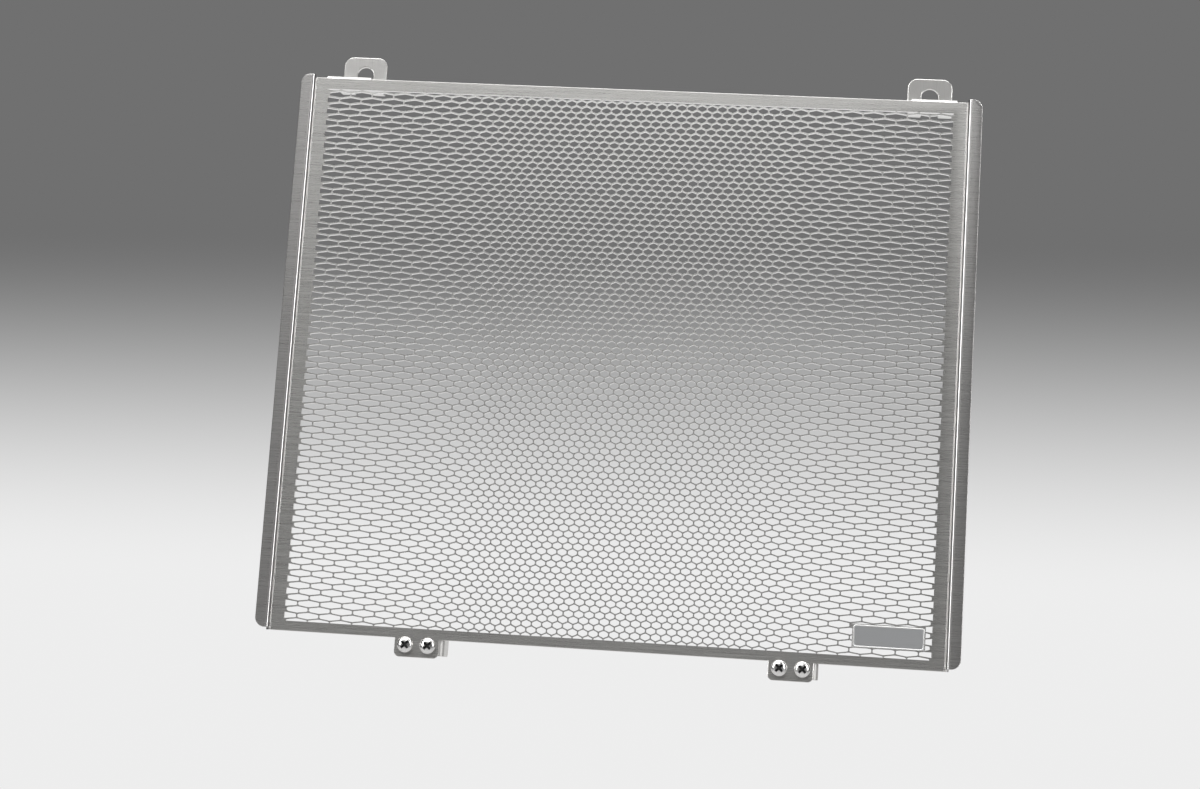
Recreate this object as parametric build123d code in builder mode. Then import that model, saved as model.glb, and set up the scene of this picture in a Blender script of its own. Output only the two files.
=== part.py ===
from build123d import *
from math import exp, hypot, log
import os

# Radiator guard for a motorcycle, in millimetres. It hangs upright in front of the radiator core.
# +Z is up and the guard's front looks along -Y. The origin is midway between the two stay slots,
# on the rear faces of the stays, where the bike's own bolts hold it.

# Folded sheet panel
sheet = 1.5              # stainless sheet
face_width = 295.0       # flat face, from step bend to step bend
face_height = 252.0
step_depth = 2.1         # the side flanges stand this far in front of the face
step_run = 0.5           # sideways travel of the step between face and flange
step_bend = 0.4          # inside bend radius of the step
flange_width = 6.1       # flange, outside the step
flange_rise = 1.0        # the flanges sit this much higher than the face
flange_corner = 4.3

# Mesh of pointed cells, wide at the sides and narrow in the middle
side_strip = 5.9
top_strip = 5.2
bottom_strip = 4.4
web = 3.0                # width of the metal left between two cells
mesh_columns = 10
mesh_rows = 19
middle_zone = 0.386      # share of the half width with the narrowest cells
outer_zone = 0.755       # share of the half width where the widest cells begin
cell_spread = 2.18       # widest cell over narrowest cell
cell_point = 0.35        # height of a cell's slanted ends, as a share of the row pitch
smallest_cell = 6.0      # mm2, a cut cell below this size stays closed

# Bare name field with a raised rim, inside the mesh at the lower right
field_width = 31.4
field_height = 10.4
field_corner = 1.1
field_from_side = 24.4   # from the right edge of the face to the field's middle
field_from_bottom = 13.1
rim_width = 0.7
rim_height = 0.3

# Two tabs on the face's lower edge, with two screws each
tab_spacing = 163.5
tab_width = 19.7
tab_drop = 8.2
tab_corner = 2.3
screw_spacing = 10.0
screw_below_face = 2.8
screw_hole = 4.4

# Top stays, bent from thicker strip and welded behind the top strip
stay_from_side = 14.5    # from the side edge of the face to the stay's middle
stay_width = 20.5
stay_sheet = 2.0
stay_bend = 1.2          # inside bend radius
stay_reach = 38.5        # from the face's front to the rear of the stay's tab
stay_foot = 5.0          # foot below the face's top edge
stay_proud = 0.9         # the arm starts this much above the face's top edge
stay_rise = 3.8          # climb of the arm from foot to tab
stay_corner = 4.4
slot_width = 7.8
slot_to_tip = 8.5        # from the slot's centre to the tab's upper edge
slot_height = 12.7       # slot centre above the face's top edge
slot_run = 16.0          # the slot runs on into the arm

# Lower brackets, clamped behind the tabs
bracket_sheet = 1.5
bracket_bend = 0.8       # inside bend radius
bracket_past_tab = 2.2   # the wall stands outside the tab's right edge
bracket_behind_tab = 1.0 # the other end hides behind the tab
bracket_depth = 12.4
bracket_height = 11.0
bracket_below_face = 7.0
bracket_corner = 2.0

# Pan head screws and hexagon nuts
screw_size = 4.0
screw_length = 8.0
head_width = 7.0
head_height = 2.5
head_edge = 1.0          # straight part of the head's side
nut_flats = 7.0
nut_height = 3.2
nut_turn = 30.0          # degrees, a corner points up
thread_gap = 0.05        # the plain nut bore clears the plain shank by this radius

# Places worked out from the sizes above
face_top = -slot_height
face_bottom = face_top - face_height
face_middle = face_top - face_height / 2
front_y = -stay_reach
back_y = front_y + sheet
flange_y = front_y - step_depth
half_face = face_width / 2
flange_start = half_face + step_run
half_width = flange_start + flange_width
tab_bottom = face_bottom - tab_drop
screw_z = face_bottom - screw_below_face
bracket_bottom = face_bottom - bracket_below_face
bracket_rear = back_y + bracket_sheet
tab_front = -stay_sheet
sides = {"left": -1, "right": 1}


def centre_to_web(step, steps, half_field):
    """Distance from the middle of the mesh to a web line: even, then widening, then even again."""
    growth = (cell_spread - 1) / (outer_zone - middle_zone)
    widening = log(cell_spread) / growth
    outer = (1 - outer_zone) / cell_spread
    along = (middle_zone + widening + outer) * step / steps
    if along <= middle_zone:
        share = along
    elif along <= middle_zone + widening:
        share = middle_zone + (exp(growth * (along - middle_zone)) - 1) / growth
    else:
        share = outer_zone + cell_spread * (along - middle_zone - widening)
    return share * half_field


def web_lines(columns, half_field):
    """All web lines from left to right, two for each cell."""
    half = [centre_to_web(step, columns, half_field) for step in range(columns + 1)]
    return [-x for x in reversed(half[1:])] + half


def half_cell(peak, line, pitch):
    """Half a cell, from its peak to the web line beside it: x, height at the side, height at the peak."""
    point = pitch * cell_point
    upright = (pitch - point) / 2
    slope = point / abs(line - peak)
    half_web = web / 2 * hypot(1, slope)
    inset = web / 2 if line < peak else -web / 2
    return line + inset, upright + web / 2 * slope - half_web, upright + point - half_web


def outline_at(upper, z):
    """Corners of a cell whose upper and lower half are alike."""
    upper = sorted(upper)
    return [(x, z + h) for x, h in upper] + [(x, z - h) for x, h in reversed(upper)]


def full_cell(left, peak, right, z, pitch):
    x_left, side_left, peak_left = half_cell(peak, left, pitch)
    x_right, side_right, peak_right = half_cell(peak, right, pitch)
    return outline_at([(x_left, side_left), (peak, (peak_left + peak_right) / 2), (x_right, side_right)], z)


def end_cell(peak, line, cut, z, pitch):
    """Half a cell at the end of a row, cut off upright beside its peak."""
    x, side, top = half_cell(peak, line, pitch)
    return outline_at([(x, side), (peak, top), (cut, top)], z)


def mesh_cells():
    """Every cell of the mesh: full cells in one row, half a cell at both ends of the next."""
    lines = web_lines(mesh_columns, half_face - side_strip - web)
    field = face_height - top_strip - bottom_strip
    pitch = (field + web) / (mesh_rows + cell_point)
    first = face_top - top_strip + web / 2 - pitch * (1 + cell_point) / 2
    cells = []
    for row in range(mesh_rows):
        z = first - row * pitch
        shifted = row % 2
        for k in range(shifted, len(lines) - 2, 2):
            cells.append(full_cell(lines[k], lines[k + 1], lines[k + 2], z, pitch))
        if shifted:
            cells.append(end_cell(lines[0], lines[1], lines[0] - web, z, pitch))
            cells.append(end_cell(lines[-1], lines[-2], lines[-1] + web, z, pitch))
    return cells


# The panel: one section with a step at each side, trimmed to its front outline, then perforated
with BuildPart() as guard_panel:
    with BuildSketch(Plane.XY.offset(tab_bottom)):
        with BuildLine():
            fold = FilletPolyline(
                (-half_width, flange_y),
                (-flange_start, flange_y),
                (-half_face, front_y),
                (half_face, front_y),
                (flange_start, flange_y),
                (half_width, flange_y),
                radius=[step_bend + sheet, step_bend, step_bend, step_bend + sheet],
            )
            offset(fold, amount=sheet, side=Side.LEFT)
        make_face()
    extrude(amount=face_top + flange_rise - tab_bottom)

    with BuildSketch(Plane.XZ.offset(stay_reach - sheet)) as outline:
        with Locations((0, face_middle)):
            Rectangle(face_width + step_run, face_height)
        flange_middle = (half_face + step_run / 2 + half_width) / 2
        with Locations(*[(side * flange_middle, face_middle + flange_rise) for side in (-1, 1)]):
            Rectangle(flange_width + step_run / 2, face_height)
        fillet(outline.vertices().group_by(Axis.X)[0] + outline.vertices().group_by(Axis.X)[-1], flange_corner)
        with Locations(*[(side * tab_spacing / 2, face_bottom) for side in (-1, 1)]):
            Rectangle(tab_width, tab_drop, align=(Align.CENTER, Align.MAX))
        fillet(outline.vertices().group_by(Axis.Y)[0], tab_corner)
    extrude(amount=step_depth + sheet, mode=Mode.INTERSECT)

    with BuildSketch(Plane.XZ.offset(stay_reach)):
        with Locations((half_face - field_from_side, face_bottom + field_from_bottom)):
            RectangleRounded(field_width, field_height, field_corner)
            RectangleRounded(
                field_width - 2 * rim_width,
                field_height - 2 * rim_width,
                field_corner / 2,
                mode=Mode.SUBTRACT,
            )
    extrude(amount=rim_height)

    with BuildSketch(Plane.XZ.offset(stay_reach - sheet)):
        with Locations(*[(side * tab_spacing / 2, screw_z) for side in (-1, 1)]):
            with GridLocations(screw_spacing, 0, 2, 1):
                Circle(screw_hole / 2)
    extrude(amount=sheet, mode=Mode.SUBTRACT)

    with BuildSketch(Plane.XZ.offset(stay_reach - sheet)) as cells:
        add([Polygon(*corners, align=None, mode=Mode.PRIVATE) for corners in mesh_cells()])
        with Locations((half_face - field_from_side, face_bottom + field_from_bottom)):
            RectangleRounded(field_width, field_height, field_corner, mode=Mode.SUBTRACT)
    extrude(
        to_extrude=[cell for cell in cells.sketch.faces() if cell.area > smallest_cell],
        amount=sheet,
        mode=Mode.SUBTRACT,
    )

guard_panel.part.label = "guard_panel"


def top_stay(x):
    """Foot behind the top strip, arm to the rear, slotted tab standing up."""
    arm_start = face_top + stay_proud
    with BuildPart() as stay:
        with BuildSketch(Plane.YZ.offset(x)):
            with BuildLine():
                bends = FilletPolyline(
                    (back_y, face_top - stay_foot),
                    (back_y, arm_start),
                    (tab_front, arm_start + stay_rise),
                    (tab_front, slot_to_tip),
                    radius=[stay_bend + stay_sheet, stay_bend],
                )
                offset(bends, amount=stay_sheet, side=Side.RIGHT)
            make_face()
        extrude(amount=stay_width / 2, both=True)
        fillet(stay.edges().filter_by(Axis.Y).group_by(Axis.Z)[-1], stay_corner)
        # the arch through the tab, open below
        with BuildSketch(Plane.XZ):
            with Locations((x, 0)):
                Circle(slot_width / 2)
                Rectangle(slot_width, slot_height, align=(Align.CENTER, Align.MAX))
        extrude(amount=stay_sheet + stay_bend, mode=Mode.SUBTRACT)
        # the same slot in the arm, with a round end
        with BuildSketch(Plane.XY.offset(face_top - stay_sheet)):
            with Locations((x, tab_front - slot_run + slot_width / 2)):
                Circle(slot_width / 2)
                Rectangle(slot_width, stay_sheet + slot_run - slot_width / 2, align=(Align.CENTER, Align.MIN))
        extrude(amount=slot_height + stay_sheet, mode=Mode.SUBTRACT)
    return stay


def lower_bracket(x):
    """Angle behind a tab: plate against the sheet and a wall running back on its right."""
    left = x - tab_width / 2 + bracket_behind_tab
    right = x + tab_width / 2 + bracket_past_tab
    with BuildPart() as bracket:
        with BuildSketch(Plane.XY.offset(bracket_bottom)):
            with BuildLine():
                bend = FilletPolyline(
                    (left, back_y),
                    (right, back_y),
                    (right, back_y + bracket_depth),
                    radius=bracket_bend + bracket_sheet,
                )
                offset(bend, amount=bracket_sheet, side=Side.LEFT)
            make_face()
        extrude(amount=bracket_height)
        fillet(bracket.edges().filter_by(Axis.X).group_by(Axis.Y)[-1], bracket_corner)
        fillet(bracket.edges().filter_by(Axis.Y).group_by(Axis.X)[0], bracket_corner)
        with BuildSketch(Plane.XZ.offset(-bracket_rear)):
            with Locations((x, screw_z)):
                with GridLocations(screw_spacing, 0, 2, 1):
                    Circle(screw_hole / 2)
        extrude(amount=bracket_sheet, mode=Mode.SUBTRACT)
    return bracket


def pan_screw(x):
    """Pan head with its shank running to the rear."""
    with BuildPart() as screw:
        with BuildSketch(Plane.XZ.offset(stay_reach)):
            with Locations((x, screw_z)):
                Circle(head_width / 2)
        extrude(amount=head_height)
        chamfer(screw.edges().group_by(Axis.Y)[0], head_height - head_edge)
        with BuildSketch(Plane.XZ.offset(stay_reach)):
            with Locations((x, screw_z)):
                Circle(screw_size / 2)
        extrude(amount=-screw_length)
    return screw


def hexagon_nut(x):
    """Nut bearing on the bracket's rear face."""
    with BuildPart() as nut:
        with BuildSketch(Plane.XZ.offset(-bracket_rear)):
            with Locations((x, screw_z)):
                RegularPolygon(nut_flats / 2, 6, major_radius=False, rotation=nut_turn)
                Circle(screw_size / 2 + thread_gap, mode=Mode.SUBTRACT)
        extrude(amount=-nut_height)
    return nut


pieces = {"guard_panel": guard_panel}
for side, sign in sides.items():
    pieces[f"stay_{side}"] = top_stay(sign * (half_face - stay_from_side))
    pieces[f"bracket_{side}"] = lower_bracket(sign * tab_spacing / 2)
    for place, shift in (("outer", sign), ("inner", -sign)):
        screw_x = sign * tab_spacing / 2 + shift * screw_spacing / 2
        pieces[f"screw_{side}_{place}"] = pan_screw(screw_x)
        pieces[f"nut_{side}_{place}"] = hexagon_nut(screw_x)

os.makedirs("parts", exist_ok=True)
for name, piece in pieces.items():
    piece.part.label = name
    export_step(piece.part, f"parts/{name}.step")
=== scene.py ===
import math

import bmesh
import bpy
from mathutils import Matrix, Vector
from mathutils.geometry import delaunay_2d_cdt


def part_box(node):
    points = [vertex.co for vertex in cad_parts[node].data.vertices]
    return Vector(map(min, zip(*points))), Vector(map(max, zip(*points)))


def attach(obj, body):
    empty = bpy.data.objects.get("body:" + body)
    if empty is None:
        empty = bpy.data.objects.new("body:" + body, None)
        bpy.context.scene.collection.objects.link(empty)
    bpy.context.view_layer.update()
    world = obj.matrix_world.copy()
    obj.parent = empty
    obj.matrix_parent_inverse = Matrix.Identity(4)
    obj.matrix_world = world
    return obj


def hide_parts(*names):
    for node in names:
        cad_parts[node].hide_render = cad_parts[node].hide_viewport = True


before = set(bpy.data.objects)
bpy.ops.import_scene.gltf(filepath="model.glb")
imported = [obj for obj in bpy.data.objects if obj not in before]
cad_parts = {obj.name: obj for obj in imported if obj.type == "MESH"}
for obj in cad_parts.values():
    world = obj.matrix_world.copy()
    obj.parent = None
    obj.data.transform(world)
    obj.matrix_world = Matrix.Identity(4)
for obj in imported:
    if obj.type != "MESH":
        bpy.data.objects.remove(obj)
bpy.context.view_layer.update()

# Radiator guard in brushed stainless sheet: fine mesh, stepped flanges, stays, brackets and screws.
# Shapes are worked out in millimetres and turned into metres when a mesh is written.
mm = 0.001
spare = 1.0             # fold lines and cutters run this far past the metal
frontFacing = -0.5      # a face whose normal has less y than this looks to the front
print("frame loaded,", len(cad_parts), "nodes")


def boxInMm(node):
    low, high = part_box(node)
    return low / mm, high / mm


panelLow, panelHigh = boxInMm("guard_panel")


# Shared sheet-metal helpers

def arc(centre, radius, start, end, steps):
    # points on an arc, angles in degrees
    found = []
    for k in range(steps + 1):
        angle = math.radians(start + (end - start) * k / steps)
        found.append((centre[0] + radius * math.cos(angle), centre[1] + radius * math.sin(angle)))
    return found


def roundedRectangle(centre, width, height, radius, steps=6):
    # anticlockwise
    right, top = width / 2 - radius, height / 2 - radius
    loop = []
    for quarter, (x, y) in enumerate(((right, top), (-right, top), (-right, -top), (right, -top))):
        loop += arc((centre[0] + x, centre[1] + y), radius, quarter * 90, quarter * 90 + 90, steps)
    return loop


def foldSection(corners, radii, metalSide, steps):
    # (length along the section, point, direction into the metal) at every fold line
    track = [(Vector(corners[0]), (Vector(corners[1]) - Vector(corners[0])).normalized())]
    for before, corner, after, radius in zip(corners, corners[1:], corners[2:], radii):
        corner = Vector(corner)
        towards = (corner - Vector(before)).normalized()
        away = (Vector(after) - corner).normalized()
        turn = math.atan2(towards.x * away.y - towards.y * away.x, towards.dot(away))
        first = corner - towards * radius * math.tan(abs(turn) / 2)
        inward = Vector((-towards.y, towards.x)) * math.copysign(1, turn)
        centre = first + inward * radius
        for k in range(steps + 1):
            swing = Matrix.Rotation(turn * k / steps, 2)
            track.append((centre + swing @ (first - centre), swing @ towards))
    track.append((Vector(corners[-1]), (Vector(corners[-1]) - Vector(corners[-2])).normalized()))
    section, length = [], 0
    for k, (point, heading) in enumerate(track):
        if k:
            length += (point - track[k - 1][0]).length
        section.append((length, point, Vector((-heading.y, heading.x)) * metalSide))
    return section


def alongSection(section, length):
    # point and direction into the metal at a length along the section
    for (l0, p0, n0), (l1, p1, n1) in zip(section, section[1:]):
        if length <= l1 or l1 == section[-1][0]:
            share = (length - l0) / (l1 - l0) if l1 > l0 else 0
            return p0.lerp(p1, share), n0.lerp(n1, share).normalized()


def lengthAt(section, x):
    # length along the section where it passes x
    return next(
        l0 + (l1 - l0) * (x - p0.x) / (p1.x - p0.x)
        for (l0, p0, _), (l1, p1, _) in zip(section, section[1:])
        if p0.x <= x < p1.x
    )


def insetLoop(loop, distance):
    # moves a loop to the left of its own direction, which is into the metal
    moved = []
    for k, here in enumerate(loop):
        before, after = Vector(loop[k - 1]), Vector(loop[(k + 1) % len(loop)])
        here = Vector(here)
        first = (here - before).normalized()
        second = (after - here).normalized()
        n1, n2 = Vector((-first.y, first.x)), Vector((-second.y, second.x))
        moved.append(tuple(here + (n1 + n2) * distance / (1 + n1.dot(n2))))
    return moved


class SheetPattern:
    # A flat pattern: loops cut through it, fold lines across it, and levels above or below its face

    def __init__(self):
        self.points = []
        self.levels = []
        self.edges = []
        self.edgeLevels = []
        self.cuts = set()

    def addLoop(self, loop, level=0.0, isCut=True):
        start, count = len(self.points), len(loop)
        self.points += [Vector(p) for p in loop]
        self.levels += [level] * count
        for k in range(count):
            if isCut:
                self.cuts.add(len(self.edges))
            self.edges.append((start + k, start + (k + 1) % count))
            self.edgeLevels.append(level)

    def addRoundedLoop(self, loop, radius):
        # two facets round the edge from the face into the cut
        facet = radius * (1 - math.cos(math.radians(45)))
        self.addLoop(loop, radius)
        self.addLoop(insetLoop(loop, facet), facet, isCut=False)
        self.addLoop(insetLoop(loop, radius), 0.0, isCut=False)

    def addFoldLines(self, section, low, high, origin=0.0):
        for length, _, _ in section[1:-1]:
            start = len(self.points)
            self.points += [Vector((length - origin, low)), Vector((length - origin, high))]
            self.levels += [0.0, 0.0]
            self.edges.append((start, start + 1))
            self.edgeLevels.append(None)

    def triangulate(self):
        # flat points, their levels, and the triangles that are metal
        margin, closeness = 10, 1e-5
        xs, ys = [p.x for p in self.points], [p.y for p in self.points]
        corners = [
            Vector((x, y))
            for x in (min(xs) - margin, max(xs) + margin)
            for y in (min(ys) - margin, max(ys) + margin)
        ]
        coords, edges, faces, fromPoints, fromEdges, _ = delaunay_2d_cdt(
            self.points + corners, self.edges, [], 0, closeness, True
        )
        levels = [0.0] * len(coords)
        known = [False] * len(coords)
        for k, sources in enumerate(fromPoints):
            kept = [self.levels[i] for i in sources if i < len(self.levels)]
            if kept:
                levels[k], known[k] = max(kept, key=abs), True
        cutEdges = set()
        for (a, b), sources in zip(edges, fromEdges):
            onLoop = [self.edgeLevels[i] for i in sources if self.edgeLevels[i] is not None]
            for v in (a, b):
                if onLoop and not known[v]:
                    levels[v] = max(onLoop, key=abs)
            if any(i in self.cuts for i in sources):
                cutEdges.add((min(a, b), max(a, b)))
        return coords, levels, self.metalFaces(faces, cutEdges)

    def metalFaces(self, faces, cutEdges):
        # walks over the triangles from outside, and changes side at each cut
        beside = {}
        for f, face in enumerate(faces):
            for a, b in zip(face, face[1:] + face[:1]):
                beside.setdefault((min(a, b), max(a, b)), []).append(f)
        first = next(both[0] for both in beside.values() if len(both) == 1)
        isMetal = {first: False}
        queue = [first]
        while queue:
            f = queue.pop()
            face = faces[f]
            for a, b in zip(face, face[1:] + face[:1]):
                pair = (min(a, b), max(a, b))
                for other in beside[pair]:
                    if other not in isMetal:
                        isMetal[other] = isMetal[f] != (pair in cutEdges)
                        queue.append(other)
        return [faces[f] for f in range(len(faces)) if isMetal.get(f)]


def foldPattern(name, pattern, section, origin, thickness, place):
    # stands the flat pattern up along its section and gives it its thickness
    coords, levels, faces = pattern.triangulate()
    used = sorted({v for face in faces for v in face})
    renumbered = {v: k for k, v in enumerate(used)}
    front, back = [], []
    for v in used:
        point, inward = alongSection(section, coords[v].x + origin)
        level = levels[v]
        front.append(place(point + inward * level, coords[v].y) * mm)
        back.append(place(point + inward * (thickness - max(level, 0)), coords[v].y) * mm)
    count = len(used)
    # an edge that only one triangle has is a rim, and gets a wall
    solid, rims = [], {}
    for face in faces:
        face = [renumbered[v] for v in face]
        solid.append(face)
        solid.append([v + count for v in reversed(face)])
        for a, b in zip(face, face[1:] + face[:1]):
            if (b, a) in rims:
                del rims[(b, a)]
            else:
                rims[(a, b)] = True
    solid += [[b, a, a + count, b + count] for a, b in rims]
    data = bpy.data.meshes.new(name)
    data.from_pydata(front + back, [], solid)
    uv = data.uv_layers.new(name="alongSheet")
    spots = [(coords[v].x * mm, coords[v].y * mm) for v in used] * 2
    uv.data.foreach_set("uv", [value for loop in data.loops for value in spots[loop.vertex_index]])
    data.update()
    made = bpy.data.objects.new(name, data)
    bpy.context.scene.collection.objects.link(made)
    tidyNormals(made)
    return made


def tidyNormals(piece, sharpFrom=15):
    # normals to the outside, and edges sharp from this many degrees
    work = bmesh.new()
    work.from_mesh(piece.data)
    bmesh.ops.recalc_face_normals(work, faces=work.faces)
    work.to_mesh(piece.data)
    work.free()
    piece.data.shade_smooth()
    piece.data.set_sharp_from_angle(angle=math.radians(sharpFrom))


def fixTo(piece, node, slotName, *materials):
    for material in materials:
        piece.data.materials.append(material)
    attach(piece, "root")
    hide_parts(node)
    print("made", piece.name, "with", len(piece.data.polygons), "faces")


# Materials

def newMaterial(name, colour, roughness, anisotropy=0.0):
    material = bpy.data.materials.new(name)
    material.use_nodes = True
    shader = material.node_tree.nodes["Principled BSDF"]
    shader.inputs["Base Color"].default_value = (*colour, 1)
    shader.inputs["Metallic"].default_value = 1.0
    shader.inputs["Roughness"].default_value = roughness
    shader.inputs["Anisotropic"].default_value = anisotropy
    # a quarter turn, so that highlights spread across the brush lines
    shader.inputs["Anisotropic Rotation"].default_value = 0.25
    return material, material.node_tree, shader


def addNode(tree, kind, **settings):
    node = tree.nodes.new(kind)
    for key, value in settings.items():
        if key in node.inputs:
            node.inputs[key].default_value = value
        else:
            setattr(node, key, value)
    return node


def stretchedNoise(tree, source, scale, detail=3.0, roughness=0.6):
    # noise drawn out along the brush lines; scale is waves a metre in u, v and depth
    mapping = addNode(tree, "ShaderNodeMapping", Scale=scale)
    noise = addNode(tree, "ShaderNodeTexNoise", Scale=1.0, Detail=detail, Roughness=roughness)
    tree.links.new(source, mapping.inputs["Vector"])
    tree.links.new(mapping.outputs["Vector"], noise.inputs["Vector"])
    return noise.outputs["Fac"]


def mapRange(tree, source, low, high, newLow, newHigh, interpolation="LINEAR"):
    node = addNode(tree, "ShaderNodeMapRange", interpolation_type=interpolation)
    limits = {"From Min": low, "From Max": high, "To Min": newLow, "To Max": newHigh}
    for key, value in limits.items():
        node.inputs[key].default_value = value
    tree.links.new(source, node.inputs["Value"])
    return node.outputs["Result"]


def tintBetween(tree, shader, share, colour, darkShare):
    # base colour from a darkened tone at share 0 to the full colour at 1
    tone = addNode(tree, "ShaderNodeMix", data_type="RGBA", blend_type="MIX")
    tone.inputs["A"].default_value = (*[c * darkShare for c in colour], 1)
    tone.inputs["B"].default_value = (*colour, 1)
    tree.links.new(share, tone.inputs["Factor"])
    tree.links.new(tone.outputs["Result"], shader.inputs["Base Color"])


def bumpFrom(tree, shader, height, look):
    bump = addNode(
        tree, "ShaderNodeBump", Strength=look["bump"], Distance=look["bumpDepth"] * mm
    )
    tree.links.new(height, bump.inputs["Height"])
    tree.links.new(bump.outputs["Normal"], shader.inputs["Normal"])


# the part of each noise's values that spans the full swing
noiseRange = {
    "scratchRoughness": (0.4, 1.1),
    "scratchTone": (0.35, 0.55),
    "cloudTone": (0.3, 0.7),
    "grainRoughness": (0.3, 0.7),
    "grainTone": (0.3, 0.6),
}


def brushedSteel(name, look):
    # long fine scratches along u, with faint broader bands and a colour that wanders a little
    material, tree, shader = newMaterial(
        name, look["colour"], look["roughness"], look["anisotropy"]
    )
    links = tree.links
    uv = addNode(tree, "ShaderNodeUVMap", uv_map="alongSheet").outputs["UV"]
    lineWaves, cloudWaves = look["lineWaves"], look["cloudWaves"]
    bandLine, softDetail = lineWaves / look["bandStretch"], 2.0
    fine = stretchedNoise(tree, uv, (lineWaves, look["fineWaves"], 1))
    bands = stretchedNoise(tree, uv, (bandLine, look["bandWaves"], 1), softDetail)
    cloud = stretchedNoise(tree, uv, (cloudWaves, cloudWaves, 1), softDetail)

    mixed = addNode(tree, "ShaderNodeMath", operation="MULTIPLY_ADD")
    links.new(bands, mixed.inputs[0])
    mixed.inputs[1].default_value = look["bandShare"]
    links.new(fine, mixed.inputs[2])
    scratches = mixed.outputs[0]

    low, high = (look["roughness"] * (1 + way * look["spread"]) for way in (-1, 1))
    roughness = mapRange(tree, scratches, *noiseRange["scratchRoughness"], low, high)
    links.new(roughness, shader.inputs["Roughness"])

    share = addNode(tree, "ShaderNodeMath", operation="ADD")
    lineTone = mapRange(tree, fine, *noiseRange["scratchTone"], 0, 1 - look["cloudShare"])
    cloudTone = mapRange(tree, cloud, *noiseRange["cloudTone"], 0, look["cloudShare"])
    links.new(lineTone, share.inputs[0])
    links.new(cloudTone, share.inputs[1])
    tintBetween(tree, shader, share.outputs[0], look["colour"], look["darkLine"])

    bumpFrom(tree, shader, scratches, look)
    tangent = addNode(tree, "ShaderNodeTangent", direction_type="UV_MAP", uv_map="alongSheet")
    links.new(tangent.outputs["Tangent"], shader.inputs["Tangent"])
    return material


def satinSteel(name, look):
    # an even, faintly grained surface with no direction
    material, tree, shader = newMaterial(name, look["colour"], look["roughness"])
    place = addNode(tree, "ShaderNodeTexCoord").outputs["Object"]
    grain = stretchedNoise(tree, place, (look["grainWaves"],) * 3)
    low, high = (look["roughness"] * (1 + way * look["spread"]) for way in (-1, 1))
    roughness = mapRange(tree, grain, *noiseRange["grainRoughness"], low, high)
    tree.links.new(roughness, shader.inputs["Roughness"])
    share = mapRange(tree, grain, *noiseRange["grainTone"], 0, 1)
    tintBetween(tree, shader, share, look["colour"], look["darkGrain"])
    bumpFrom(tree, shader, grain, look)
    return material


panelLook = {
    "colour": (0.70, 0.69, 0.67),
    "roughness": 0.31,
    "anisotropy": 0.85,
    "lineWaves": 25,      # scratches about 40 mm long
    "fineWaves": 5000,    # and a fifth of a millimetre apart
    "bandWaves": 1200,
    "bandStretch": 3,     # bands are this much longer than scratches
    "bandShare": 0.15,
    "cloudWaves": 18,
    "cloudShare": 0.2,
    "darkLine": 0.88,
    "spread": 0.18,       # how far the roughness strays, as a share of itself
    "bump": 0.032,
    "bumpDepth": 0.02,
}
stayLook = dict(
    panelLook, colour=(0.78, 0.77, 0.75), roughness=0.36, anisotropy=0.4, lineWaves=60
)
# painted shade: the flanges' colour is darker than the face's, standing in for the dimmer light
# they reflect
shadedFlangeLook = dict(
    panelLook, colour=(0.57, 0.56, 0.55), roughness=0.30, darkLine=0.91, spread=0.12, bump=0.024
)
bendLook = dict(
    panelLook, colour=(0.70, 0.69, 0.68), roughness=0.29, darkLine=0.97, spread=0.05, bump=0.0
)
# painted light: the webs' colour is lighter than the strips', standing in for the highlights at the
# cells' junctions
litWebLook = dict(panelLook, colour=(0.84, 0.83, 0.81))
bracketLook = dict(
    panelLook,
    colour=(0.85, 0.84, 0.82),
    roughness=0.55,
    anisotropy=0.0,
    lineWaves=60,
    bump=0.1,
)
cutEdgeLook = {
    "colour": (0.88, 0.87, 0.86),
    "roughness": 0.22,
    "grainWaves": 4000,
    "darkGrain": 0.9,
    "spread": 0.2,
    "bump": 0.1,
    "bumpDepth": 0.01,
}
fieldLook = dict(
    cutEdgeLook, colour=(0.67, 0.68, 0.69), roughness=0.45, grainWaves=6000, bump=0.15
)
rimLook = dict(fieldLook, colour=(0.80, 0.80, 0.79), roughness=0.5)
screwLook = dict(
    cutEdgeLook, colour=(0.95, 0.94, 0.93), roughness=0.24, grainWaves=2500, bump=0.03
)
# painted shade: a near-black colour for the inside of the cross recess, standing in for the shade
# that falls there
recessShadeLook = dict(screwLook, colour=(0.12, 0.12, 0.12), roughness=0.5)
nutLook = dict(screwLook, colour=(0.72, 0.71, 0.69), roughness=0.22, bump=0.08)

# the panel's steels, in the order of its material slots
panelSteels = {
    "sheet": brushedSteel("brushedPanelSteel", panelLook),
    "field": satinSteel("etchedFieldSteel", fieldLook),
    "flange": brushedSteel("brushedFlangeSteelWithPaintedShade", shadedFlangeLook),
    "cutEdge": satinSteel("cutEdgeSteel", cutEdgeLook),
    "rim": satinSteel("polishedRimSteel", rimLook),
    "web": brushedSteel("brushedWebSteelWithPaintedLight", litWebLook),
    "bend": brushedSteel("smoothBendSteel", bendLook),
}
panelSlots = {name: slot for slot, name in enumerate(panelSteels)}
staySteel = brushedSteel("brushedStaySteel", stayLook)
bracketSteel = brushedSteel("brushedBracketSteel", bracketLook)
screwSteel = satinSteel("polishedScrewSteel", screwLook)
recessShadeSteel = satinSteel("paintedShadeRecessSteel", recessShadeLook)
nutSteel = satinSteel("bareNutSteel", nutLook)
print("materials ready")


# Panel

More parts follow.
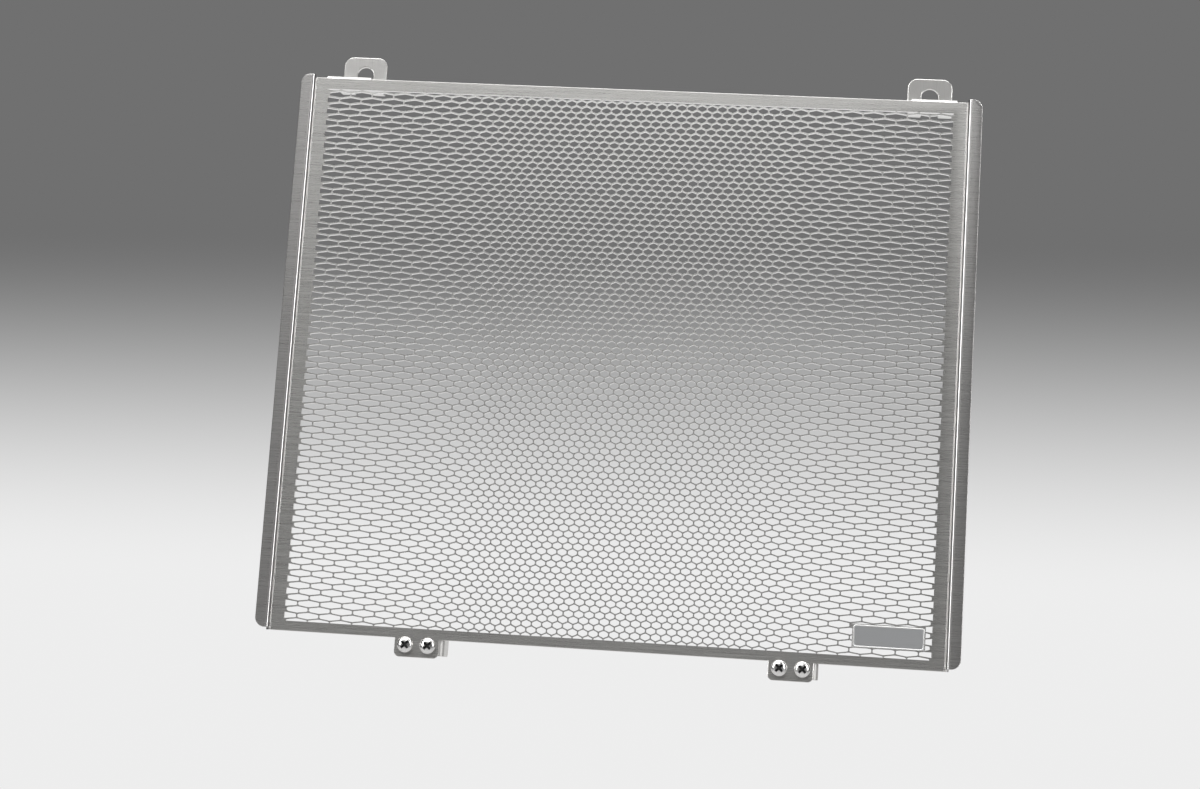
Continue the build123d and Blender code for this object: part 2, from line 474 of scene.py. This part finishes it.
panel = {
    "sheet": 1.5,
    "faceWidth": 295.0,
    "stepRun": 0.5,
    "stepBend": 0.4,
    "bendSteps": 6,
    "flangeRise": 1.0,
    "flangeCorner": 4.3,
    "flangeCornerSteps": 10,
    "edge": 0.22,
    "tabSpacing": 163.5,
    "tabWidth": 19.7,
    "tabDrop": 8.2,
    "tabCorner": 2.3,
    "tabCornerSteps": 8,
    "screwSpacing": 10.0,
    "screwBelowFace": 2.8,
    "screwHole": 4.4,
    "screwHoleSteps": 32,
}
mesh = {
    "columns": 46,
    "rows": 90,
    "rowPitch": 2.669,
    "firstRow": 7.55,       # middle of the first full row, below the face's top edge
    "sideStrip": 5.9,
    "topStrip": 5.2,
    "bottomStrip": 4.4,
    "web": 0.56,
    "middleZone": 0.386,    # share of the half width with the narrowest cells
    "outerZone": 0.755,     # share of the half width where the widest cells begin
    "spread": 2.18,         # widest cell over narrowest cell
    "narrowPoint": 0.37,    # rise of a cell's slanted edges, as a share of the row pitch
    "widePoint": 0.27,
    "cornerCut": 0.28,
    "smallest": 0.12,       # mm2, slivers below this stay closed
}
nameField = {
    "width": 31.4,
    "height": 10.4,
    "corner": 1.1,
    "cornerShrink": 0.5,    # loss of corner radius for each mm inwards
    "fromSide": 24.4,
    "fromBottom": 13.1,
    "rimInset": 0.35,
    "rimWidth": 0.65,
    "rimSlope": 0.25,
    "rimHeight": 0.15,
}

faceFront = panelHigh.y - panel["sheet"]
flangeFront = panelLow.y
halfWidth = panelHigh.x
halfFace = panel["faceWidth"] / 2
flangeStart = halfFace + panel["stepRun"]
faceTop = panelHigh.z - panel["flangeRise"]
faceBottom = panelLow.z + panel["tabDrop"]
fieldCentre = (halfFace - nameField["fromSide"], faceBottom + nameField["fromBottom"])
meshHigh = faceTop - mesh["topStrip"]
meshLow = faceBottom + mesh["bottomStrip"]


def centreToWeb(step, steps, halfField):
    # distance from the middle to a web line: even, then widening, then even again
    middle, outerZone, spread = mesh["middleZone"], mesh["outerZone"], mesh["spread"]
    growth = (spread - 1) / (outerZone - middle)
    widening = math.log(spread) / growth
    outer = (1 - outerZone) / spread
    along = (middle + widening + outer) * step / steps
    if along <= middle:
        share = along
    elif along <= middle + widening:
        share = middle + (math.exp(growth * (along - middle)) - 1) / growth
    else:
        share = outerZone + spread * (along - middle - widening)
    return share * halfField


def webLines():
    halfField = halfFace - mesh["sideStrip"] - mesh["web"]
    half = [centreToWeb(k, mesh["columns"], halfField) for k in range(mesh["columns"] + 1)]
    return [-x for x in reversed(half[1:])] + half


def pointAt(x):
    # the wide cells at the sides have flatter slanted edges
    share = (abs(x) / halfFace - mesh["middleZone"]) / (mesh["outerZone"] - mesh["middleZone"])
    return mesh["narrowPoint"] + (mesh["widePoint"] - mesh["narrowPoint"]) * min(max(share, 0), 1)


def halfCell(peak, line):
    # corners beside the web line, seen over the cell's middle, and the height at the peak
    point = mesh["rowPitch"] * pointAt((peak + line) / 2)
    upright = (mesh["rowPitch"] - point) / 2
    slope = point / abs(line - peak)
    halfWeb = mesh["web"] / 2 * math.hypot(1, slope)
    away = 1 if line < peak else -1
    side = upright + mesh["web"] / 2 * slope - halfWeb
    cut = mesh["cornerCut"]
    x = line + away * mesh["web"] / 2
    return [(x, side - cut), (x + away * cut, side + cut * slope)], upright + point - halfWeb


def mirroredDown(upper, z):
    # a whole cell from its upper edge, given as heights over the row's middle z
    return [(x, z + h) for x, h in upper] + [(x, z - h) for x, h in reversed(upper)]


def fullCell(left, peak, right, z):
    leftPart, leftTop = halfCell(peak, left)
    rightPart, rightTop = halfCell(peak, right)
    return mirroredDown(leftPart + [(peak, (leftTop + rightTop) / 2)] + rightPart[::-1], z)


def endCell(peak, line, stop, z):
    # half a cell at the end of a row, cut upright beside its peak
    part, top = halfCell(peak, line)
    cut = mesh["cornerCut"]
    back = cut if line < peak else -cut
    return mirroredDown(part + [(stop + back, top), (stop, top - cut)], z)


def clipLoop(loop, axis, limit, keepBelow):
    # keeps the part of a convex loop on one side of a level line
    sign = 1 if keepBelow else -1
    kept = []
    for k, here in enumerate(loop):
        before = loop[k - 1]
        d0, d1 = sign * (before[axis] - limit), sign * (here[axis] - limit)
        if (d0 < 0) != (d1 < 0):
            share = d0 / (d0 - d1)
            kept.append(tuple(p + (q - p) * share for p, q in zip(before, here)))
        if d1 < 0:
            kept.append(here)
    return kept


def loopArea(loop):
    return abs(sum(a[0] * b[1] - b[0] * a[1] for a, b in zip(loop, loop[1:] + loop[:1]))) / 2


def meshCells():
    lines = webLines()
    across, upwards = 0, 1
    halfSize = (nameField["width"] / 2, nameField["height"] / 2)
    besideField = [
        (axis, fieldCentre[axis] + way * halfSize[axis], way < 0)
        for axis in (across, upwards)
        for way in (-1, 1)
    ]
    cells = []
    for row in range(-1, mesh["rows"] + 1):
        z = faceTop - mesh["firstRow"] - row * mesh["rowPitch"]
        shifted = row % 2
        made = [
            fullCell(lines[k], lines[k + 1], lines[k + 2], z)
            for k in range(shifted, len(lines) - 2, 2)
        ]
        if shifted:
            for peak, line in ((lines[0], lines[1]), (lines[-1], lines[-2])):
                stop = peak + math.copysign(mesh["web"], peak)
                made.append(endCell(peak, line, stop, z))
        for cell in made:
            cell = clipLoop(clipLoop(cell, upwards, meshHigh, True), upwards, meshLow, False)
            # of a cell that meets the bare field, the largest part beside the field stays
            best = max((clipLoop(cell, *side) for side in besideField), key=loopArea)
            if loopArea(best) > mesh["smallest"]:
                cells.append(best)
    return cells


def tabOutline(x):
    left, right = x - panel["tabWidth"] / 2, x + panel["tabWidth"] / 2
    radius, bottom = panel["tabCorner"], faceBottom - panel["tabDrop"]
    steps = panel["tabCornerSteps"]
    loop = [(left, faceBottom)]
    loop += arc((left + radius, bottom + radius), radius, 180, 270, steps)
    loop += arc((right - radius, bottom + radius), radius, 270, 360, steps)
    return loop + [(right, faceBottom)]


def panelOutline(edgeLength, jogLength):
    # anticlockwise, seen from the front; the flanges stand a little higher than the face
    corner, steps = panel["flangeCorner"], panel["flangeCornerSteps"]
    top, bottom = panelHigh.z, faceBottom + panel["flangeRise"]
    loop = arc((-edgeLength + corner, bottom + corner), corner, 180, 270, steps)
    loop += [(-jogLength, bottom), (-jogLength, faceBottom)]
    for side in (-1, 1):
        loop += tabOutline(side * panel["tabSpacing"] / 2)
    loop += [(jogLength, faceBottom), (jogLength, bottom)]
    loop += arc((edgeLength - corner, bottom + corner), corner, 270, 360, steps)
    loop += arc((edgeLength - corner, top - corner), corner, 0, 90, steps)
    loop += [(jogLength, top), (jogLength, faceTop), (-jogLength, faceTop), (-jogLength, top)]
    loop += arc((-edgeLength + corner, top - corner), corner, 90, 180, steps)
    return loop


def addScrewHoles(pattern, x):
    z = faceBottom - panel["screwBelowFace"]
    for shift in (-1, 1):
        centre = (x + shift * panel["screwSpacing"] / 2, z)
        hole = arc(centre, panel["screwHole"] / 2, 0, 360, panel["screwHoleSteps"])
        pattern.addLoop(hole[:-1])


def addFieldRim(pattern):
    # four loops carry the rim's section: up from the sheet, level, and down again
    slope, lift = nameField["rimSlope"], nameField["rimHeight"]
    outer = nameField["rimInset"]
    inner = outer + nameField["rimWidth"]
    for inset, level in ((outer, 0), (outer + slope, -lift), (inner - slope, -lift), (inner, 0)):
        width, height = nameField["width"] - 2 * inset, nameField["height"] - 2 * inset
        corner = nameField["corner"] + outer - inset * nameField["cornerShrink"]
        loop = roundedRectangle(fieldCentre, width, height, corner)
        pattern.addLoop(loop, level, isCut=False)


def makePanel():
    outerBend = panel["stepBend"] + panel["sheet"]
    section = foldSection(
        [
            (-halfWidth, flangeFront),
            (-flangeStart, flangeFront),
            (-halfFace, faceFront),
            (halfFace, faceFront),
            (flangeStart, flangeFront),
            (halfWidth, flangeFront),
        ],
        [outerBend, panel["stepBend"], panel["stepBend"], outerBend],
        metalSide=1,
        steps=panel["bendSteps"],
    )
    half = section[-1][0] / 2
    jogLength = lengthAt(section, halfFace + panel["stepRun"] / 2) - half
    pattern = SheetPattern()
    pattern.addRoundedLoop(panelOutline(half, jogLength), panel["edge"])
    pattern.addFoldLines(section, panelLow.z - spare, panelHigh.z + spare, half)
    for cell in meshCells():
        pattern.addLoop(cell)
    for side in (-1, 1):
        addScrewHoles(pattern, side * panel["tabSpacing"] / 2)
    addFieldRim(pattern)
    made = foldPattern(
        "guardPanel", pattern, section, half, panel["sheet"], lambda p, z: Vector((p.x, p.y, z))
    )
    paintWebLight(made)
    paintField(made)
    paintEdges(made)
    fixTo(made, "guard_panel", "panel_steel", *panelSteels.values())


def paintWebLight(piece):
    # painted light: the narrow webs between the cells get a lighter colour than the strips round
    # them, standing in for the highlights along and between the cells
    side = halfFace - mesh["sideStrip"]
    for face in piece.data.polygons:
        spots = [piece.data.vertices[v].co / mm for v in face.vertices]
        inMesh = all(abs(s.x) < side and meshLow < s.z < meshHigh for s in spots)
        if inMesh and face.normal.y < frontFacing:
            face.material_index = panelSlots["web"]


def paintField(piece):
    # the rim and the bare field inside it have finishes of their own
    outer = nameField["rimInset"]
    for finish, inset in (("rim", outer), ("field", outer + nameField["rimWidth"])):
        halfX, halfZ = nameField["width"] / 2 - inset, nameField["height"] / 2 - inset
        for face in piece.data.polygons:
            spot = face.center / mm
            offX, offZ = abs(spot.x - fieldCentre[0]), abs(spot.z - fieldCentre[1])
            if offX < halfX and offZ < halfZ and face.normal.y < frontFacing:
                face.material_index = panelSlots[finish]


def paintEdges(piece):
    # bends took the brush differently, the flanges' darker colour is painted shade, and the cells'
    # cut walls are bright
    bendFrom = halfFace - panel["stepBend"]
    bendTo = flangeStart + panel["stepBend"] + panel["sheet"]
    cellsTo, cutWall = halfFace - 1.0, 0.2
    for face in piece.data.polygons:
        x = abs(face.center.x / mm)
        if x > flangeStart:
            face.material_index = panelSlots["flange"]
        if bendFrom < x < bendTo:
            face.material_index = panelSlots["bend"]
        elif x < cellsTo and abs(face.normal.y) < cutWall:
            face.material_index = panelSlots["cutEdge"]


# Stays

stay = {
    "sheet": 2.0,
    "bend": 0.3,
    "bendSteps": 8,
    "foot": 5.0,
    "proud": 1.6,
    "rise": 3.1,
    "corner": 4.4,
    "cornerSteps": 10,
    "slotWidth": 7.8,
    "slotToTip": 8.5,
    "slotRun": 16.0,
    "slotSteps": 20,
    "edge": 0.3,
}


def makeStay(side):
    node = "stay_" + side
    low, high = boxInMm(node)
    middle, width = (low.x + high.x) / 2, high.x - low.x
    footFront = panelHigh.y
    tabFront = high.y - stay["sheet"]
    armStart = faceTop + stay["proud"]
    section = foldSection(
        [
            (footFront, faceTop - stay["foot"]),
            (footFront, armStart),
            (tabFront, armStart + stay["rise"]),
            (tabFront, high.z),
        ],
        [stay["bend"] + stay["sheet"], stay["bend"]],
        metalSide=-1,
        steps=stay["bendSteps"],
    )
    total = section[-1][0]
    radius, steps = stay["corner"], stay["cornerSteps"]
    outline = [(0, -width / 2)]
    outline += arc((total - radius, -width / 2 + radius), radius, 270, 360, steps)
    outline += arc((total - radius, width / 2 - radius), radius, 0, 90, steps)
    outline += [(0, width / 2)]
    # the slot runs clockwise, so that its rounded edge goes into the metal
    radius, steps = stay["slotWidth"] / 2, stay["slotSteps"]
    slotTop = total - stay["slotToTip"]
    slotEnd = lengthAt(section, tabFront - stay["slotRun"] + radius)
    slot = arc((slotTop, 0), radius, 90, -90, steps) + arc((slotEnd, 0), radius, 270, 90, steps)
    pattern = SheetPattern()
    pattern.addRoundedLoop(outline, stay["edge"])
    pattern.addRoundedLoop(slot, stay["edge"])
    pattern.addFoldLines(section, -width, width)
    made = foldPattern(
        "stay" + side.capitalize(),
        pattern,
        section,
        0,
        stay["sheet"],
        lambda p, x: Vector((middle + x, p.x, p.y)),
    )
    fixTo(made, node, "stay_steel", staySteel)


# Lower brackets

bracket = {
    "sheet": 1.5,
    "bend": 0.8,
    "bendSteps": 8,
    "corner": 2.0,
    "edge": 0.2,
}


def makeBracket(side):
    node = "bracket_" + side
    low, high = boxInMm(node)
    section = foldSection(
        [(low.x, low.y), (high.x, low.y), (high.x, high.y)],
        [bracket["bend"] + bracket["sheet"]],
        metalSide=1,
        steps=bracket["bendSteps"],
    )
    total = section[-1][0]
    centre = (total / 2, (low.z + high.z) / 2)
    outline = roundedRectangle(centre, total, high.z - low.z, bracket["corner"])
    sign = -1 if side == "left" else 1
    pattern = SheetPattern()
    pattern.addRoundedLoop(outline, bracket["edge"])
    pattern.addFoldLines(section, low.z - spare, high.z + spare)
    addScrewHoles(pattern, sign * panel["tabSpacing"] / 2 - low.x)
    made = foldPattern(
        "bracket" + side.capitalize(),
        pattern,
        section,
        0,
        bracket["sheet"],
        lambda p, z: Vector((p.x, p.y, z)),
    )
    fixTo(made, node, "bracket_steel", bracketSteel)


# Screws and nuts

screw = {
    "size": 4.0,
    "pitch": 0.7,
    "threadDepth": 0.38,
    "threadSteps": 32,
    "rowsPerPitch": 8,
    "tip": 0.5,
    "headEdge": 1.0,
    "seatBevel": 0.15,
    "domeSteps": 10,
    "turns": 64,
    "sharpFrom": 35,
    "recessWidth": 4.4,
    "recessBlade": 1.1,
    "recessDepth": 1.7,
    "recessFloor": 0.72,     # share of the cross's size left at its floor
    "recessReach": 0.7,      # share of the head's radius that holds the cross
}
nut = {
    "bevelDepth": 0.225,
    "crown": 0.98,           # rear face's radius, as a share of half the width over the flats
    "bore": 2.05,
    "boreLead": 0.35,
    "turns": 72,
    "sharpFrom": 35,
}


def latheProfile(profile, centre, turns):
    # revolves (radius, y) points about the line along Y through the centre
    work = bmesh.new()
    rings = []
    for radius, y in profile:
        if radius == 0:
            rings.append([work.verts.new((centre.x, y, centre.z))])
            continue
        rings.append(ringAt(work, centre, radius, y, turns))
    for a, b in zip(rings, rings[1:]):
        for k in range(turns):
            n = (k + 1) % turns
            corners = [a[k % len(a)], a[n % len(a)], b[n % len(b)], b[k % len(b)]]
            work.faces.new(list(dict.fromkeys(corners)))
    return work


def ringAt(work, centre, radius, y, count, start=0.0):
    # corners of a regular polygon across the line along Y, start in degrees
    ring = []
    for k in range(count):
        angle = 2 * math.pi * k / count + math.radians(start)
        x, z = centre.x + radius * math.cos(angle), centre.z + radius * math.sin(angle)
        ring.append(work.verts.new((x, y, z)))
    return ring


def closeRings(work, rings):
    # walls from ring to ring and a cap at both ends
    count = len(rings[0])
    for a, b in zip(rings, rings[1:]):
        for k in range(count):
            n = (k + 1) % count
            work.faces.new((a[k], a[n], b[n], b[k]))
    work.faces.new(rings[0])
    work.faces.new(rings[-1][::-1])


def objectFrom(work, name, scale=mm):
    bmesh.ops.recalc_face_normals(work, faces=work.faces)
    bmesh.ops.scale(work, vec=(scale,) * 3, verts=work.verts)
    data = bpy.data.meshes.new(name)
    work.to_mesh(data)
    work.free()
    made = bpy.data.objects.new(name, data)
    bpy.context.scene.collection.objects.link(made)
    return made


def cutWith(piece, cutter, operation="DIFFERENCE"):
    boolean = piece.modifiers.new("cut", "BOOLEAN")
    boolean.operation = operation
    boolean.solver = "EXACT"
    boolean.object = cutter
    bpy.context.view_layer.update()
    graph = bpy.context.evaluated_depsgraph_get()
    finished = bpy.data.meshes.new_from_object(piece.evaluated_get(graph))
    piece.modifiers.clear()
    piece.data = finished
    bpy.data.objects.remove(cutter)


def weldSeam(piece):
    # joins the first and last ring of a closed profile
    closeness = 1e-7
    work = bmesh.new()
    work.from_mesh(piece.data)
    bmesh.ops.remove_doubles(work, verts=work.verts, dist=closeness)
    bmesh.ops.recalc_face_normals(work, faces=work.faces)
    work.to_mesh(piece.data)
    work.free()


def recessCutter(centre, front):
    # the tapered cross, one ring of twelve corners at each depth
    work = bmesh.new()
    wide, thin = screw["recessWidth"] / 2, screw["recessBlade"] / 2
    outline = []
    for quarter in range(4):
        turn = Matrix.Rotation(math.radians(45 + 90 * quarter), 2)
        outline += [turn @ Vector(corner) for corner in ((wide, -thin), (wide, thin), (thin, thin))]
    floor = (front + screw["recessDepth"], screw["recessFloor"])
    rings = []
    for y, share in ((front - spare, 1.0), (front, 1.0), floor):
        spots = [(centre.x + p.x * share, y, centre.z + p.y * share) for p in outline]
        rings.append([work.verts.new(spot) for spot in spots])
    closeRings(work, rings)
    return objectFrom(work, "recessCross")


def makeScrew(side, place):
    node = "screw_" + side + "_" + place
    low, high = boxInMm(node)
    centre = (low + high) / 2
    headRadius = (high.x - low.x) / 2
    front, seat = low.y, faceFront
    rimY = seat - screw["headEdge"]
    profile = [(0, front)]
    for k in range(1, screw["domeSteps"] + 1):
        angle = math.pi / 2 * k / screw["domeSteps"]
        y = rimY - (rimY - front) * math.cos(angle)
        profile.append((headRadius * math.sin(angle), y))
    profile += [
        (headRadius, seat - screw["seatBevel"]),
        (headRadius - screw["seatBevel"], seat),
        (screw["size"] / 2, seat),
        (0, seat),
    ]
    head = latheProfile(profile, centre, screw["turns"])
    made = objectFrom(head, "screw" + side.capitalize() + place.capitalize())
    cutWith(made, recessCutter(centre, front))
    paintRecessShade(made, centre, headRadius)
    addThread(made, centre, seat, high.y)
    tidyNormals(made, screw["sharpFrom"])
    fixTo(made, node, "screw_steel", screwSteel, recessShadeSteel)


def paintRecessShade(piece, centre, headRadius):
    # painted shade: the cross's walls and floor, which face inwards or to the front, take the dark
    # recess colour that stands in for the shade inside it; the dome faces outwards
    reach = headRadius * screw["recessReach"]
    level, rearFacing, recessShadeSlot = 1e-4, 0.5, 1
    for face in piece.data.polygons:
        spot = face.center / mm - centre
        outwards = face.normal.x * spot.x + face.normal.z * spot.z
        isNear = math.hypot(spot.x, spot.z) < reach
        if isNear and outwards <= level and face.normal.y < rearFacing:
            face.material_index = recessShadeSlot


def addThread(piece, centre, start, end):
    # a cylinder whose radius follows the thread's helix, closed at both ends
    crest, steps = screw["size"] / 2, screw["threadSteps"]
    root = crest - screw["threadDepth"]
    rows = int((end - start) / screw["pitch"] * screw["rowsPerPitch"])
    work = bmesh.new()
    work.from_mesh(piece.data)
    rings = []
    for row in range(rows + 1):
        y = start + (end - start) * row / rows
        ring = []
        for k in range(steps):
            wave = ((y - start) / screw["pitch"] - k / steps) % 1
            ridge = abs(2 * wave - 1)
            radius = crest - screw["threadDepth"] * (1 - ridge)
            radius = min(radius, crest - screw["tip"] + (end - y))
            if y - start < screw["pitch"] / 2:
                radius = root
            angle = 2 * math.pi * k / steps
            x, z = centre.x + radius * math.cos(angle), centre.z + radius * math.sin(angle)
            ring.append(work.verts.new(Vector((x, y, z)) * mm))
        rings.append(ring)
    closeRings(work, rings)
    work.to_mesh(piece.data)
    work.free()


def makeNut(side, place):
    node = "nut_" + side + "_" + place
    low, high = boxInMm(node)
    centre = (low + high) / 2
    flats = min(high.x - low.x, high.z - low.z)
    reach = flats / 2 / math.cos(math.pi / 6)
    # a chamfered body of revolution, trimmed by the six flats
    profile = [
        (nut["bore"], low.y),
        (reach, low.y),
        (reach, high.y - nut["bevelDepth"]),
        (flats / 2 * nut["crown"], high.y),
        (nut["bore"] + nut["boreLead"], high.y),
        (nut["bore"], high.y - nut["boreLead"]),
        (nut["bore"], low.y),
    ]
    body = latheProfile(profile, centre, nut["turns"])
    made = objectFrom(body, "nut" + side.capitalize() + place.capitalize())
    weldSeam(made)
    sides = 6
    start = 180 / sides if high.x - low.x < high.z - low.z else 0
    work = bmesh.new()
    rings = [ringAt(work, centre, reach, y, sides, start) for y in (low.y - spare, high.y + spare)]
    closeRings(work, rings)
    cutWith(made, objectFrom(work, "hexagon"), "INTERSECT")
    tidyNormals(made, nut["sharpFrom"])
    fixTo(made, node, "nut_steel", nutSteel)


makePanel()
for side in ("left", "right"):
    makeStay(side)
    makeBracket(side)
    for place in ("outer", "inner"):
        makeScrew(side, place)
        makeNut(side, place)


# Camera, where the photograph was taken from

view = {
    "place": (0.0735, -0.9558, -0.2821),
    "forward": (-0.0879, 0.9863, 0.1394),
    "roll": 3.687,
    "lens": 63.0,
    "sensor": 36.0,
    "nearest": 0.01,
}


def makeCamera():
    data = bpy.data.cameras.new("camera")
    data.sensor_width = view["sensor"]
    data.lens = view["lens"]
    data.clip_start = view["nearest"]
    camera = bpy.data.objects.new("camera", data)
    bpy.context.scene.collection.objects.link(camera)
    forward = Vector(view["forward"]).normalized()
    right = forward.cross(Vector((0, 0, 1))).normalized()
    up = right.cross(forward)
    roll = math.radians(view["roll"])
    leaned = up * math.cos(roll) - right * math.sin(roll)
    sideways = forward.cross(leaned)
    turn = Matrix((sideways, leaned, -forward)).transposed()
    camera.matrix_world = Matrix.Translation(view["place"]) @ turn.to_4x4()
    bpy.context.scene.camera = camera


# Studio, in metres

studio = {
    "wallAt": 3.0,
    "floorAt": -0.80,
    "sweep": 0.30,
    "sweepSteps": 16,
    "wallTop": 4.0,
    "halfWidth": 4.5,
    "frontEdge": -4.0,
    "paleBelow": -0.08,     # height where the wall's fade starts
    "greyAbove": 0.60,      # and where it ends
    "fadeTilt": 1.8,        # degrees, the fade sits a little higher on the right
    # strengths of the wall's glow, painted light standing in for the light's falloff up the sweep
    "pale": 0.85,
    "grey": 0.162,
    "floorPaper": 0.55,
    "glowFrom": 0.0,        # behind the guard the floor starts to glow like the wall
    "glowFull": 0.4,
    "air": 0.07,
    "lampsAim": (0, -0.04, -0.14),
}
lamps = {
    "overhead": {"at": (-0.53, -1.55, 1.2), "size": (1.75, 0.8), "watts": 11},
    "ceiling": {"at": (0.0, -0.3, 1.6), "size": (2.2, 1.2), "watts": 38},
    "leftStrip": {"at": (-1.22, -1.2, 0.35), "size": (0.25, 1.3), "watts": 10},
    "rightStrip": {"at": (1.22, -1.2, 0.35), "size": (0.25, 1.3), "watts": 10},
    "rearFill": {"at": (0.0, 2.2, 1.8), "size": (2.0, 1.0), "watts": 8},
}


def makeSweep():
    # floor, curve and wall in one sheet
    radius = studio["sweep"]
    curveCentre = (studio["wallAt"] - radius, studio["floorAt"] + radius)
    profile = [(studio["frontEdge"], studio["floorAt"])]
    profile += arc(curveCentre, radius, -90, 0, studio["sweepSteps"])
    profile.append((studio["wallAt"], studio["wallTop"]))
    work = bmesh.new()
    left, right = (
        [work.verts.new((x, y, z)) for y, z in profile]
        for x in (-studio["halfWidth"], studio["halfWidth"])
    )
    for k in range(len(profile) - 1):
        work.faces.new((left[k], right[k], right[k + 1], left[k + 1]))
    sweep = objectFrom(work, "sweep", 1.0)
    sweep.data.shade_smooth()
    sweep.data.materials.append(sweepMaterial())


def sweepMaterial():
    # the wall glows, painted light that fades from pale near the floor to grey above; in front of
    # the guard the floor is plain pale paper lit by the lamps, and behind it the floor glows like
    # the wall
    material = bpy.data.materials.new("sweepPaperAndPaintedGlow")
    material.use_nodes = True
    tree = material.node_tree
    tree.nodes.clear()
    output = addNode(tree, "ShaderNodeOutputMaterial")
    place = addNode(tree, "ShaderNodeTexCoord").outputs["Object"]
    split = addNode(tree, "ShaderNodeSeparateXYZ")
    tree.links.new(place, split.inputs["Vector"])

    glow = addNode(tree, "ShaderNodeEmission")
    tilted = addNode(tree, "ShaderNodeMapping", Rotation=(0, math.radians(studio["fadeTilt"]), 0))
    fadeHeight = addNode(tree, "ShaderNodeSeparateXYZ")
    tree.links.new(place, tilted.inputs["Vector"])
    tree.links.new(tilted.outputs["Vector"], fadeHeight.inputs["Vector"])
    fade = mapRange(
        tree,
        fadeHeight.outputs["Z"],
        studio["paleBelow"],
        studio["greyAbove"],
        studio["pale"],
        studio["grey"],
        "SMOOTHSTEP",
    )
    tree.links.new(fade, glow.inputs["Strength"])

    paper = addNode(tree, "ShaderNodeBsdfDiffuse")
    paper.inputs["Color"].default_value = (studio["floorPaper"],) * 3 + (1,)
    blend = addNode(tree, "ShaderNodeMixShader")
    share = mapRange(tree, split.outputs["Y"], studio["glowFrom"], studio["glowFull"], 0, 1)
    tree.links.new(share, blend.inputs["Fac"])
    tree.links.new(paper.outputs["BSDF"], blend.inputs[1])
    tree.links.new(glow.outputs["Emission"], blend.inputs[2])
    tree.links.new(blend.outputs["Shader"], output.inputs["Surface"])
    return material


def makeLamp(name, spec):
    data = bpy.data.lights.new(name, "AREA")
    data.shape = "RECTANGLE"
    data.size, data.size_y = spec["size"]
    data.energy = spec["watts"]
    lamp = bpy.data.objects.new(name, data)
    bpy.context.scene.collection.objects.link(lamp)
    aim = Vector(studio["lampsAim"]) - Vector(spec["at"])
    lamp.location = spec["at"]
    lamp.rotation_euler = aim.to_track_quat("-Z", "Y").to_euler()
    lamp.visible_camera = False


def makeWorld():
    world = bpy.data.worlds.new("studioAir")
    bpy.context.scene.world = world
    world.use_nodes = True
    air = world.node_tree.nodes["Background"]
    air.inputs["Color"].default_value = (studio["air"],) * 3 + (1,)
    air.inputs["Strength"].default_value = 1.0


makeCamera()
makeSweep()
for name, spec in lamps.items():
    makeLamp(name, spec)
makeWorld()
bpy.context.scene.view_settings.view_transform = "Standard"
print("studio ready")
